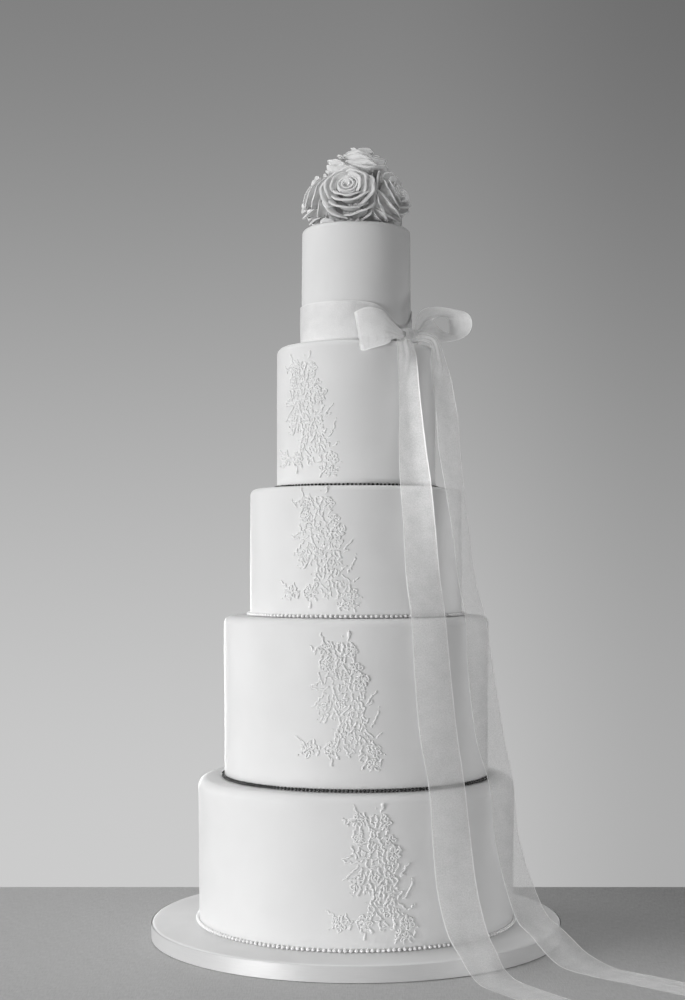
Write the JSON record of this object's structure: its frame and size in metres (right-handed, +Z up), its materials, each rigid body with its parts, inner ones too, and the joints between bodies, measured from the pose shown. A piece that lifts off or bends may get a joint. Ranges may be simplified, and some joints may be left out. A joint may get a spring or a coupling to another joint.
{
  "type": "tiered wedding cake",
  "caption": "Tall round tiered wedding cake on its iced board, with piped lace sprays, bead strands, an organza ribbon with a bow and a crown of sugar roses.",
  "frame": {"origin": "centre of the board's underside, on the table", "axes": "+Z up through the tiers, -Y towards the front of the cake, +X to its right seen from the front"},
  "size_m": [0.5383, 0.5138, 0.7841],
  "materials": {
    "fondant": "matt rolled fondant with a faint sheen",
    "board_icing": "smooth matt icing on the drum board",
    "satin_ribbon": "glossy white satin",
    "pearl": "white pearl",
    "jet": "black, slightly glossy",
    "organza": "sheer white organza with woven edges",
    "sugar_petal": "matt sugar paste with a fine bloom"
  },
  "bodies": {
    "root": {"board": "board_icing", "board_ribbon": "satin_ribbon", "tier_5": "fondant", "tier_4": "fondant", "tier_3": "fondant", "tier_2": "fondant", "tier_1": "fondant", "pearls_tier_5": "pearl", "pearls_tier_3": "pearl", "black_beads_tier_4": "jet", "black_beads_tier_2": "jet", "ribbon_band": "organza", "bow_knot": "organza", "bow_loop_left": "organza", "bow_loop_right": "organza", "ribbon_tail_front": "organza", "ribbon_tail_side": "organza", "rose_1": "sugar_petal", "rose_2": "sugar_petal", "rose_3": "sugar_petal", "rose_4": "sugar_petal", "rose_5": "sugar_petal", "rose_top": "sugar_petal", "petal_loose": "sugar_petal"}
  },
  "joints": []
}
